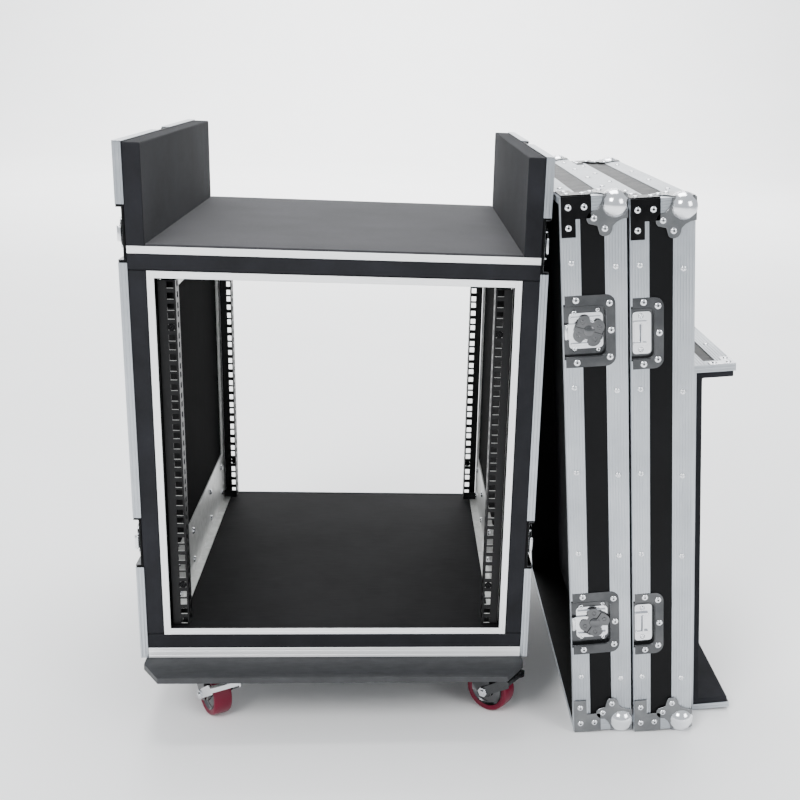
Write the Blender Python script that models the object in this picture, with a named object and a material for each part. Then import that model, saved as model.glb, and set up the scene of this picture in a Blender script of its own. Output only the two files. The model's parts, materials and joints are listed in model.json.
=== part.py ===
"""Twelve-unit shock-mount equipment rack case on casters, with its two covers and its lid standing beside it.

Lengths are in millimetres in the case frame (X = 0 on the case's middle, Y = 0 on the front rail face, Z = 0 at
the foot of the rails) and are turned into metres in the world frame when each mesh is made.
The world frame has its origin on the floor under the middle of the whole set, +Z up and the case's front at -Y.
"""

from math import cos, pi, radians, sin

import bmesh
import bpy
from mathutils import Matrix, Vector

# Rack bay
UNIT = 44.45
UNITS = 12
RAIL_HEIGHT = UNIT * UNITS
HOLE_X = 232.55
HOLE_SIDE = 9.5
HOLE_STEPS = (6.35, 22.225, 38.1)
RAIL_IN, RAIL_OUT, RAIL_FOOT = 225.0, 247.0, 249.8
RAIL_METAL, RAIL_WEB = 2.0, 26.0
REAR_RAIL_Y = 558.5

# Case body
GAP = 0.3
FRONT, REAR = -10.0, 568.5
PLY = 9.0
SIDE_IN = 288.0
SIDE_OUT = SIDE_IN + PLY
BODY_BOTTOM, BODY_TOP = -51.5, 720.5
DECK_BOTTOM, DECK_TOP = 572.0, 581.0
MAT_TOP = 585.0
SLEEVE_OUT = 261.4
SLEEVE_BOTTOM, SLEEVE_TOP = -11.8, 548.0
TRIM = 1.2
TRIM_IN = 286.6
SIDE_TRIM_WIDTH = 30.0
FRAME_WIDTH = 10.0
PLATE_LOW, PLATE_HIGH, PLATE_POST = 95.0, 40.0, 26.0

# Latch pockets in the case, the covers and the lid
POCKET_HALF, POCKET_DEPTH = 38.0, 7.0
MALE_REACH, KEEPER_REACH = 66.0, 36.0
LATCH_IN = 36.0
LATCH_LOW_Z, LATCH_HIGH_Z = 140.0, 598.0
LID_LATCH_Y = 285.0
WING_LENGTH, WING_WIDTH, WING_PROUD = 44.0, 26.0, 3.0
WING_METAL = 3.0

# Base board and casters
BOARD_HALF, BOARD_OVERHANG = 290.0, 63.0
BOARD_TOP, BOARD_BOTTOM = -51.8, -60.8
BOARD_CUT_X, BOARD_CUT_Y = 28.0, 42.0
FLOOR = -163.6
WHEEL_R, WHEEL_HALF = 37.5, 16.0
AXLE_R, AXLE_OFFSET = 6.0, 30.0
CASTERS = {
    "front_left": (-209.0, 44.0, 30.0),
    "front_right": (223.0, 44.0, 52.0),
    "rear_left": (-209.0, 514.5, 168.0),
    "rear_right": (223.0, 514.5, 195.0),
}

# Covers and lid as they stand
LEAN = radians(5.0)
COVER_HEIGHT, COVER_DEPTH, COVER_WIDTH = 838.0, 90.0, 597.0
COVER_Y = -52.0
COVER_LINING = 25.0
COVER_X = {"cover_a": 375.5, "cover_b": 472.0}
COVER_LATCH_Z = (190.0, 650.0)
LID_X, LID_Y = 573.0, 8.0
LID_HEIGHT, LID_LENGTH, LID_DEPTH = 70.0, 588.0, 578.5
LID_LINING = 10.0

LATCH_REACH = SIDE_OUT + WING_PROUD
CENTRE_X = (LID_X + LID_HEIGHT * cos(LEAN) - LATCH_REACH) / 2
CENTRE_Y = (FRONT + REAR) / 2

MATERIALS = {
    "board": ((0.06, 0.062, 0.066), 0.55, 0.0),
    "laminate": ((0.018, 0.019, 0.021), 0.5, 0.0),
    "foam": ((0.03, 0.03, 0.034), 0.95, 0.0),
    "sleeve": ((0.02, 0.02, 0.022), 0.7, 0.0),
    "aluminium": ((0.62, 0.65, 0.68), 0.32, 1.0),
    "galvanised": ((0.5, 0.51, 0.5), 0.42, 1.0),
    "rail": ((0.015, 0.015, 0.016), 0.4, 0.6),
    "chrome": ((0.75, 0.76, 0.78), 0.18, 1.0),
    "wheel": ((0.32, 0.015, 0.05), 0.35, 0.0),
}


def clear_scene():
    for obj in list(bpy.data.objects):
        bpy.data.objects.remove(obj, do_unlink=True)


def make_material(name):
    colour, rough, metal = MATERIALS[name]
    material = bpy.data.materials.new(name)
    material.use_nodes = True
    shader = material.node_tree.nodes["Principled BSDF"]
    shader.inputs["Base Color"].default_value = (*colour, 1.0)
    shader.inputs["Roughness"].default_value = rough
    shader.inputs["Metallic"].default_value = metal
    return material


def world(x, y, z):
    return Vector((x - CENTRE_X, y - CENTRE_Y, z - FLOOR)) / 1000


# Shapes are lists of (points, faces) in millimetres


def box(low, high):
    xs, ys, zs = zip(low, high)
    points = [(x, y, z) for x in sorted(xs) for y in sorted(ys) for z in sorted(zs)]
    faces = [(0, 1, 3, 2), (4, 6, 7, 5), (0, 4, 5, 1), (2, 3, 7, 6), (0, 2, 6, 4), (1, 5, 7, 3)]
    return points, faces


def mirrored_box(side, low, high):
    return box((side * low[0], low[1], low[2]), (side * high[0], high[1], high[2]))


def prism(outline, axis, low, high):
    """The outline's two coordinates are the other two axes in X, Y, Z order."""
    points = []
    for level in (low, high):
        for a, b in outline:
            points.append({0: (level, a, b), 1: (a, level, b), 2: (a, b, level)}[axis])
    count = len(outline)
    faces = [tuple(range(count)), tuple(range(2 * count - 1, count - 1, -1))]
    faces += [(i, i + count, (i + 1) % count + count, (i + 1) % count) for i in range(count)]
    return points, faces


def disc(centre, radius, axis, low, high, steps):
    outline = [
        (centre[0] + radius * cos(2 * pi * i / steps), centre[1] + radius * sin(2 * pi * i / steps))
        for i in range(steps)
    ]
    return prism(outline, axis, low, high)


def ring_about_x(profile, steps):
    """Turns a closed (radius, x) profile about the X axis."""
    count = len(profile)
    points = [
        (x, r * cos(2 * pi * i / steps), r * sin(2 * pi * i / steps))
        for i in range(steps)
        for r, x in profile
    ]
    faces = []
    for i in range(steps):
        j = (i + 1) % steps
        for k in range(count):
            m = (k + 1) % count
            faces.append((i * count + k, i * count + m, j * count + m, j * count + k))
    return points, faces


def fill_mesh(mesh, shapes, centre):
    bm = bmesh.new()
    for points, faces in shapes:
        corners = [bm.verts.new((Vector(p) - Vector(centre)) / 1000) for p in points]
        for face in faces:
            bm.faces.new([corners[i] for i in face])
    bmesh.ops.recalc_face_normals(bm, faces=bm.faces)
    bm.to_mesh(mesh)
    bm.free()


def combine(obj, other, operation):
    modifier = obj.modifiers.new(operation.lower(), "BOOLEAN")
    modifier.operation = operation
    modifier.solver = "EXACT"
    modifier.object = other
    bpy.context.view_layer.update()
    graph = bpy.context.evaluated_depsgraph_get()
    result = bpy.data.meshes.new_from_object(obj.evaluated_get(graph))
    obj.modifiers.clear()
    obj.data = result
    bpy.data.objects.remove(other, do_unlink=True)


def bare_object(name, shapes, centre):
    obj = bpy.data.objects.new(name, bpy.data.meshes.new(name))
    fill_mesh(obj.data, shapes, centre)
    bpy.context.scene.collection.objects.link(obj)
    return obj


def piece(name, material, shape, join=(), cut=(), origin=(0, 0, 0), place=None, turn=None, smooth=False):
    """One named piece. Its mesh is made about origin and stands at place, turned by a (angle, axis) pair."""
    obj = bare_object(name, [shape], origin)
    for extra in join:
        combine(obj, bare_object(name + "_join", [extra], origin), "UNION")
    if cut:
        combine(obj, bare_object(name + "_cut", list(cut), origin), "DIFFERENCE")
    obj.data.name = name
    obj.data.materials.clear()
    obj.data.materials.append(bpy.data.materials[material])
    if smooth:
        obj.data.shade_smooth()
        obj.data.set_sharp_from_angle(angle=radians(35))
    rotation = Matrix.Rotation(turn[0], 4, turn[1]) if turn else Matrix.Identity(4)
    obj.matrix_world = Matrix.Translation(world(*(place or origin))) @ rotation
    return obj


def build_shell():
    for side, name in ((-1, "left"), (1, "right")):
        edge = SIDE_OUT - POCKET_DEPTH
        pockets = []
        for z in (LATCH_LOW_Z, LATCH_HIGH_Z):
            low, high = z - POCKET_HALF, z + POCKET_HALF
            front = (FRONT - 10, FRONT + MALE_REACH)
            back = (REAR - KEEPER_REACH, REAR + 10)
            pockets += [mirrored_box(side, (edge, y[0], low), (edge + 20, y[1], high)) for y in (front, back)]
        pockets.append(
            mirrored_box(
                side,
                (edge, LID_LATCH_Y - POCKET_HALF, BODY_TOP - MALE_REACH),
                (edge + 20, LID_LATCH_Y + POCKET_HALF, BODY_TOP + 10),
            )
        )
        panel = mirrored_box(side, (SIDE_IN, FRONT, BODY_BOTTOM), (SIDE_OUT, REAR, BODY_TOP))
        piece(f"side_{name}", "laminate", panel, cut=pockets)
        skin = SIDE_OUT + GAP
        wrap = mirrored_box(
            side,
            (TRIM_IN, FRONT - GAP - TRIM, BODY_BOTTOM),
            (skin + TRIM, REAR + GAP + TRIM, BODY_TOP + GAP + TRIM),
        )
        hollow = mirrored_box(
            side, (TRIM_IN - 20, FRONT - GAP, BODY_BOTTOM - 20), (skin, REAR + GAP, BODY_TOP + GAP)
        )
        window = mirrored_box(
            side,
            (SIDE_OUT - 2, FRONT + SIDE_TRIM_WIDTH, BODY_BOTTOM + SIDE_TRIM_WIDTH),
            (SIDE_OUT + 20, REAR - SIDE_TRIM_WIDTH, BODY_TOP - SIDE_TRIM_WIDTH),
        )
        trim = piece(f"side_edging_{name}", "aluminium", wrap, cut=[hollow])
        combine(trim, placed_cutter([window]), "DIFFERENCE")
        combine(trim, placed_cutter(pockets), "DIFFERENCE")
        piece(
            f"foam_upright_{name}",
            "foam",
            mirrored_box(
                side, (SLEEVE_OUT + 2 * GAP, FRONT, DECK_TOP + GAP), (SIDE_IN - GAP, REAR, BODY_TOP)
            ),
        )
        piece(
            f"foam_{name}",
            "foam",
            mirrored_box(
                side, (SLEEVE_OUT + GAP, FRONT, SLEEVE_BOTTOM), (SIDE_IN - GAP, REAR, SLEEVE_TOP)
            ),
        )
    inner = SIDE_IN - GAP
    slab(
        "bottom_panel", "laminate", inner, BODY_BOTTOM, BODY_BOTTOM + PLY
    )
    slab("foam_bottom", "foam", inner, BODY_BOTTOM + PLY + GAP, SLEEVE_BOTTOM - GAP)
    slab("foam_top", "foam", inner, SLEEVE_TOP + GAP, DECK_BOTTOM - GAP)
    slab("deck_panel", "laminate", inner, DECK_BOTTOM, DECK_TOP)
    slab("deck_mat", "foam", SLEEVE_OUT + GAP, DECK_TOP + GAP, MAT_TOP)


def placed_cutter(shapes):
    cutter = bare_object("cutter", shapes, (0, 0, 0))
    cutter.matrix_world = Matrix.Translation(world(0, 0, 0))
    return cutter


def slab(name, material, half, low, high):
    piece(name, material, box((-half, FRONT, low), (half, REAR, high)))


def build_edges():
    half = TRIM_IN - GAP
    for name, face, out in (("front", FRONT - GAP, -1), ("rear", REAR + GAP, 1)):
        skin = face + out * TRIM
        piece(
            f"bottom_edge_{name}", "aluminium", box((-half, face, BODY_BOTTOM), (half, skin, -35.0))
        )
        piece(f"deck_edge_{name}", "aluminium", box((-half, face, 571.6), (half, skin, 581.8)))
        ring = box((-SLEEVE_OUT, face, SLEEVE_BOTTOM), (SLEEVE_OUT, skin, SLEEVE_TOP))
        inside = SLEEVE_OUT - FRAME_WIDTH
        hole = box(
            (-inside, face - 20, SLEEVE_BOTTOM + FRAME_WIDTH), (inside, face + 20, SLEEVE_TOP - FRAME_WIDTH)
        )
        piece(f"sleeve_frame_{name}", "aluminium", ring, cut=[hole])


def build_sleeve():
    wall = SLEEVE_OUT - PLY
    for side, name in ((-1, "left"), (1, "right")):
        piece(
            f"sleeve_{name}",
            "sleeve",
            mirrored_box(side, (wall, FRONT, SLEEVE_BOTTOM), (SLEEVE_OUT, REAR, SLEEVE_TOP)),
        )
        plate_x = wall - GAP
        outline = [
            (side * plate_x, -2.4),
            (side * (plate_x - 14), -2.4),
            (side * (plate_x - 14), -0.4),
            (side * (plate_x - 2), -0.4),
            (side * (plate_x - 2), 537.0),
            (side * plate_x, 537.0),
        ]
        front, rear = 14.0, REAR_RAIL_Y - 14.0
        window = mirrored_box(
            side,
            (plate_x - 12, front + PLATE_POST, PLATE_LOW),
            (plate_x + 20, rear - PLATE_POST, 537.0 - PLATE_HIGH),
        )
        piece(f"rail_plate_{name}", "galvanised", prism(outline, 1, front, rear), cut=[window])
    slab("sleeve_floor", "sleeve", wall - GAP, SLEEVE_BOTTOM, SLEEVE_BOTTOM + PLY)
    slab("sleeve_top", "sleeve", wall - GAP, SLEEVE_TOP - PLY, SLEEVE_TOP)


def build_rails():
    for side, side_name in ((-1, "left"), (1, "right")):
        for face, back, name in ((0.0, 1, "front"), (REAR_RAIL_Y, -1, "rear")):
            steps = [
                (RAIL_OUT, 0), (RAIL_OUT, RAIL_METAL), (RAIL_IN + RAIL_METAL, RAIL_METAL),
                (RAIL_IN + RAIL_METAL, RAIL_WEB - RAIL_METAL), (RAIL_FOOT - 0.4, RAIL_WEB - RAIL_METAL),
                (RAIL_FOOT - 0.4, RAIL_WEB), (RAIL_IN, RAIL_WEB), (RAIL_IN, 0),
            ]
            outline = [(side * x, face + back * y) for x, y in steps]
            half = HOLE_SIDE / 2
            holes = []
            for unit in range(UNITS):
                for step in HOLE_STEPS:
                    z = unit * UNIT + step
                    holes.append(
                        mirrored_box(
                            side, (HOLE_X - half, face - 8, z - half), (HOLE_X + half, face + 8, z + half)
                        )
                    )
            window = mirrored_box(
                side, (RAIL_IN + RAIL_METAL + 1, face + back * 8, 14.0),
                (RAIL_FOOT + 5, face + back * (RAIL_WEB + 8), RAIL_HEIGHT - UNIT),
            )
            piece(
                f"rail_{name}_{side_name}", "rail", prism(outline, 2, 0.0, RAIL_HEIGHT), cut=holes + [window]
            )


def build_base():
    half, cut_x, cut_y = BOARD_HALF, BOARD_CUT_X, BOARD_CUT_Y
    low, high = FRONT - BOARD_OVERHANG, REAR + BOARD_OVERHANG
    outline = [
        (-half + cut_x, low), (half - cut_x, low), (half, low + cut_y), (half, high - cut_y),
        (half - cut_x, high), (-half + cut_x, high), (-half, high - cut_y), (-half, low + cut_y),
    ]
    piece("base_board", "board", prism(outline, 2, BOARD_BOTTOM, BOARD_TOP))


def build_caster(name, x, y, degrees, brake):
    turn = (radians(degrees), "Z")
    centre = (0, 0, 0)
    place = (x, y, 0)
    top = BOARD_BOTTOM - GAP
    plate = box((x - 46, y - 33, top - 2.2), (x + 46, y + 33, top))
    piece(f"caster_plate_{name}", "galvanised", plate)
    axle_z = FLOOR + WHEEL_R
    race_top = top - 2.2 - GAP
    yoke = race_top - 7.5
    leg_in, leg_out = WHEEL_HALF + 2.0, WHEEL_HALF + 5.0
    leg = [
        (22, yoke + 0.6), (22, yoke - 13), (-20, axle_z - 7), (-30, axle_z - 12), (-40, axle_z - 7),
        (-42, axle_z + 2), (-36, yoke - 18), (-24, yoke + 0.6),
    ]
    piece(
        f"fork_{name}",
        "galvanised",
        disc((0, 0), 26, 2, yoke - 0.5, race_top, 24),
        join=[
            box((-leg_out + 0.5, -23, yoke - 3), (leg_out - 0.5, 21, yoke)),
            prism(leg, 0, leg_in, leg_out),
            prism(leg, 0, -leg_out, -leg_in),
            disc((-AXLE_OFFSET, axle_z), AXLE_R, 0, -leg_out - 0.4, leg_out + 0.4, 16),
        ],
        origin=centre,
        place=place,
        turn=turn,
    )
    hub = world(x, y, axle_z) + Matrix.Rotation(turn[0], 3, "Z") @ Vector((0, -AXLE_OFFSET / 1000, 0))
    profile = [
        (AXLE_R + 0.35, -15.2), (13, -15.8), (29, -13.6), (34.5, -15.4), (WHEEL_R, -12.5),
        (WHEEL_R, 12.5), (34.5, 15.4), (29, 13.6), (13, 15.8), (AXLE_R + 0.35, 15.2),
    ]
    wheel = piece(f"wheel_{name}", "wheel", ring_about_x(profile, 24), smooth=True)
    wheel.matrix_world = Matrix.Translation(hub) @ Matrix.Rotation(turn[0], 4, "Z")
    if brake:
        side_arm = [(10.5, 1.3), (-36, 34), (-48, 34), (-48, 23), (2.7, -10.3)]
        low, high = leg_out + 0.8, leg_out + 3.3
        pedal = piece(
            f"brake_pedal_{name}",
            "chrome",
            box((-high, -46, 24.5), (high, -38.5, 32.5)),
            join=[prism(side_arm, 0, low, high), prism(side_arm, 0, -high, -low)],
        )
        pedal.matrix_world = wheel.matrix_world.copy()


def wing_outline():
    """A butterfly wing: two lobes joined by a narrower waist."""
    length, width, waist = WING_LENGTH / 2, WING_WIDTH / 2, 7.5
    quarter = [(length, width * 0.45), (length - 4, width * 0.9), (length - 10, width), (8, waist)]
    outline = quarter + [(-a, b) for a, b in reversed(quarter)]
    return outline + [(-a, -b) for a, b in quarter] + [(a, -b) for a, b in reversed(quarter)]


def build_wing(name, x, y, z, axis, sign, lean=0.0):
    """A wing plate with its spindle, on an axis that points out of the panel's face at (x, y, z)."""
    outline = wing_outline()
    if axis == 0:
        outline = [(b, a) for a, b in outline]
    top, floor = WING_PROUD, -POCKET_DEPTH + GAP
    plate = prism(outline, axis, sign * (top - WING_METAL), sign * top)
    spindle = disc((0, 0), 6.0, axis, sign * floor, sign * (top - 0.5), 12)
    wing = piece(name, "chrome", plate, join=[spindle])
    wing.matrix_world = Matrix.Translation(world(x, y, z)) @ Matrix.Rotation(-lean, 4, "Y")


def build_latches():
    for side, name in ((-1, "left"), (1, "right")):
        for z, level in ((LATCH_LOW_Z, "low"), (LATCH_HIGH_Z, "high")):
            build_wing(f"latch_front_{name}_{level}", side * SIDE_OUT, FRONT + LATCH_IN, z, 0, side)
        build_wing(f"latch_lid_{name}", side * SIDE_OUT, LID_LATCH_Y, BODY_TOP - LATCH_IN, 0, side)
    for y, sign, name in ((COVER_Y, -1, "near"), (COVER_Y + COVER_WIDTH, 1, "far")):
        for level, lz in zip(("low", "high"), COVER_LATCH_Z):
            x = COVER_X["cover_a"] + LATCH_IN * cos(LEAN) - lz * sin(LEAN)
            z = FLOOR + LATCH_IN * sin(LEAN) + lz * cos(LEAN)
            build_wing(f"latch_cover_{name}_{level}", x, y, z, 1, sign, LEAN)


def build_cover(name, reach):
    """A tray of board with its open side towards the case, leaning on its lower open edge."""
    place = (COVER_X[name], COVER_Y, FLOOR)
    turn = (-LEAN, "Y")
    depth, width, height = COVER_DEPTH, COVER_WIDTH, COVER_HEIGHT
    hollow = box((-20, PLY, PLY), (depth - PLY, width - PLY, height - PLY))
    pockets = []
    for lz in COVER_LATCH_Z:
        low, high = lz - POCKET_HALF, lz + POCKET_HALF
        pockets.append(box((-10, -20, low), (reach, POCKET_DEPTH, high)))
        pockets.append(box((-10, width - POCKET_DEPTH, low), (reach, width + 20, high)))
    shell = box((0, 0, 0), (depth, width, height))
    piece(f"{name}_shell", "laminate", shell, cut=[hollow] + pockets, place=place, turn=turn)
    edge = PLY + GAP
    lining = box(
        (depth - edge - COVER_LINING, edge, edge), (depth - edge, width - edge, height - edge)
    )
    piece(f"{name}_lining", "foam", lining, place=place, turn=turn)


def build_lid():
    """A panel with an end wall at each end, standing on one end wall with its open side to the right."""
    place = (LID_X, LID_Y, FLOOR)
    turn = (-LEAN, "Y")
    height, length = LID_HEIGHT, LID_LENGTH
    outline = [
        (0, 0), (height, 0), (height, PLY), (PLY, PLY),
        (PLY, length - PLY), (height, length - PLY), (height, length), (0, length),
    ]
    middle = LID_DEPTH / 2
    across = (middle - POCKET_HALF, middle + POCKET_HALF)
    pockets = [
        box((height - KEEPER_REACH, across[0], -20), (height + 10, across[1], POCKET_DEPTH)),
        box((height - KEEPER_REACH, across[0], length - POCKET_DEPTH), (height + 10, across[1], length + 20)),
    ]
    shell = prism(outline, 1, 0, LID_DEPTH)
    piece("lid_shell", "laminate", shell, cut=pockets, place=place, turn=turn)
    low = PLY + GAP
    high = low + LID_LINING
    top, rim = length - low, height - 3
    lining = [
        (low, low), (rim, low), (rim, high), (high, high),
        (high, length - high), (rim, length - high), (rim, top), (low, top),
    ]
    piece("lid_lining", "foam", prism(lining, 1, 0, LID_DEPTH), place=place, turn=turn)


def main():
    clear_scene()
    for name in MATERIALS:
        make_material(name)
    build_base()
    build_shell()
    build_edges()
    build_sleeve()
    build_rails()
    for name, (x, y, degrees) in CASTERS.items():
        build_caster(name, x, y, degrees, name.startswith("front"))
    build_cover("cover_a", MALE_REACH)
    build_cover("cover_b", KEEPER_REACH)
    build_lid()
    build_latches()


main()
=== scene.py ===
"""Equipment rack case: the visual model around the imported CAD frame.

Shapes are written in millimetres in the case's own frame (X = 0 on the case's middle, Y = 0 on the front rail
face, Z = 0 at the foot of the rails), or in the frame of a cover, the lid, a latch or a caster.
"""

import json
from math import cos, pi, radians, sin

import bmesh
import bpy
from mathutils import Matrix, Vector, noise


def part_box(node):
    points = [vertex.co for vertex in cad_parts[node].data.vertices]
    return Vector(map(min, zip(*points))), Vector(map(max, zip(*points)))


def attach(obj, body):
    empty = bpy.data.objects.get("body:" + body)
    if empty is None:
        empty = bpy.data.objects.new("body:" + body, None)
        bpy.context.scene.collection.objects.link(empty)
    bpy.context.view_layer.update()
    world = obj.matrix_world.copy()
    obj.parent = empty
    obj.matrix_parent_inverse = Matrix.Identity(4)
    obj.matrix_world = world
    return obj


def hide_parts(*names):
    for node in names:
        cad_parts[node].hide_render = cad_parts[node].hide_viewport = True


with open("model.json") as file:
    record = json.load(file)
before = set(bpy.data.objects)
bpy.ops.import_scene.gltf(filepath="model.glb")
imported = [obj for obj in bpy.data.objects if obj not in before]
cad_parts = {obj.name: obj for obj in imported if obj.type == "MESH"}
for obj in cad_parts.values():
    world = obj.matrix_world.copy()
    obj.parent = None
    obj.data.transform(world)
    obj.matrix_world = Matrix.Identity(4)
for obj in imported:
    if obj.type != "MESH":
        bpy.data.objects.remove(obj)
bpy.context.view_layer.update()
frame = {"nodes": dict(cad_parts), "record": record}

MM = Matrix.Scale(0.001, 4)
LEAN = radians(5)
SMOOTH_ANGLE = radians(32)

rail_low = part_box("rail_front_left")[0]
sleeve_low, sleeve_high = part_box("sleeve_frame_front")
ORIGIN = Vector(((sleeve_low.x + sleeve_high.x) / 2, rail_low.y, rail_low.z))
CASE = Matrix.Translation(ORIGIN) @ MM

# Case sizes, in millimetres
GAP = 0.3                          # clear space between neighbours
SIDE = 297.0                       # outer face of a side panel, from the middle
SIDE_IN = 287.7                    # inner face of a side panel
FRONT, REAR = -10.0, 568.5
BOTTOM, TOP = -51.5, 720.5
SLEEVE = 261.4
SLEEVE_BOTTOM, SLEEVE_TOP = -11.8, 548.0
DECK_LOW, DECK_TOP, MAT_TOP = 571.7, 581.3, 585.0

# Edging: how far the side profile reaches from the middle, and the width of its bands
EDGE_IN, EDGE_OUT = 286.6, 298.5
BAND = 28.0
TRIM = 1.2                         # thickness of a thin strip
THICK_TRIM = 1.4                   # thickness of the covers' broad strips
HEAD = 4.6                         # radius of a strip's rivet head

# Rails
UNIT, UNITS = 44.45, 12
HOLE_STEPS = (6.35, 22.225, 38.1)
RAIL_HEIGHT, REAR_RAIL = UNIT * UNITS, 558.5
RAIL_IN, RAIL_OUT, RAIL_DEEP = 225.0, 249.6, 25.0
HOLE_X, HOLE_HALF = 232.55, 4.75
SCREW_LEVELS = (66.675, 466.725)

# Latches, covers and lid
LATCH_LEVELS = (140.0, 598.0)
LID_LATCH_Y = 285.0
LATCH_IN = 36.0                    # from the open edge to the wing's axis
POCKET = 38.0                      # half the height of a dish's opening
LATCH_GAP = POCKET + 2             # half the gap that a strip leaves for a dish
MALE_REACH, KEEPER_REACH = 74.0, 47.0
DISH_FLOOR = -6.6
COVER = (90.0, 597.0, 838.0)       # depth, width, height
COVER_LEVELS = (190.0, 650.0)
LID = (70.0, 578.5, 588.0)         # height of its rim, depth, length
LINING_IN = 9.3                    # from a cover's outer face to its lining


# ---------------------------------------------------------------- materials


class Nodes:
    """A small helper around one material's node tree."""

    def __init__(self, name, colour, rough, metal=0.0):
        self.material = bpy.data.materials.new(name)
        self.material.use_nodes = True
        self.tree = self.material.node_tree
        self.shader = self.tree.nodes["Principled BSDF"]
        self.shader.inputs["Base Color"].default_value = (*colour, 1)
        self.shader.inputs["Roughness"].default_value = rough
        self.shader.inputs["Metallic"].default_value = metal
        self.coords = self.tree.nodes.new("ShaderNodeTexCoord").outputs["Object"]

    def add(self, kind, **values):
        node = self.tree.nodes.new(kind)
        for key, value in values.items():
            if key in node.inputs:
                node.inputs[key].default_value = value
            else:
                setattr(node, key, value)
        return node

    def link(self, source, target):
        self.tree.links.new(source, target)

    def noise(self, scale, detail=3.0, rough=0.55, stretch=None):
        texture = self.add("ShaderNodeTexNoise", Scale=scale, Detail=detail, Roughness=rough)
        source = self.coords
        if stretch:
            mapping = self.add("ShaderNodeMapping")
            mapping.inputs["Scale"].default_value = stretch
            self.link(source, mapping.inputs["Vector"])
            source = mapping.outputs["Vector"]
        self.link(source, texture.inputs["Vector"])
        return texture.outputs["Fac"]

    def ramp(self, source, low, high, start=0.3, stop=0.7):
        ramp = self.add("ShaderNodeValToRGB")
        ramp.color_ramp.elements[0].position = start
        ramp.color_ramp.elements[0].color = (*low, 1)
        ramp.color_ramp.elements[1].position = stop
        ramp.color_ramp.elements[1].color = (*high, 1)
        self.link(source, ramp.inputs["Fac"])
        return ramp.outputs["Color"]

    def colour(self, source, low, high, start=0.3, stop=0.7):
        self.link(self.ramp(source, low, high, start, stop), self.shader.inputs["Base Color"])

    def rough(self, source, low, high):
        spread = self.add("ShaderNodeMapRange")
        spread.inputs["To Min"].default_value = low
        spread.inputs["To Max"].default_value = high
        self.link(source, spread.inputs["Value"])
        self.link(spread.outputs["Result"], self.shader.inputs["Roughness"])

    def bump(self, source, strength, distance):
        bump = self.add("ShaderNodeBump", Strength=strength, Distance=distance)
        self.link(source, bump.inputs["Height"])
        self.link(bump.outputs["Normal"], self.shader.inputs["Normal"])


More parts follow.
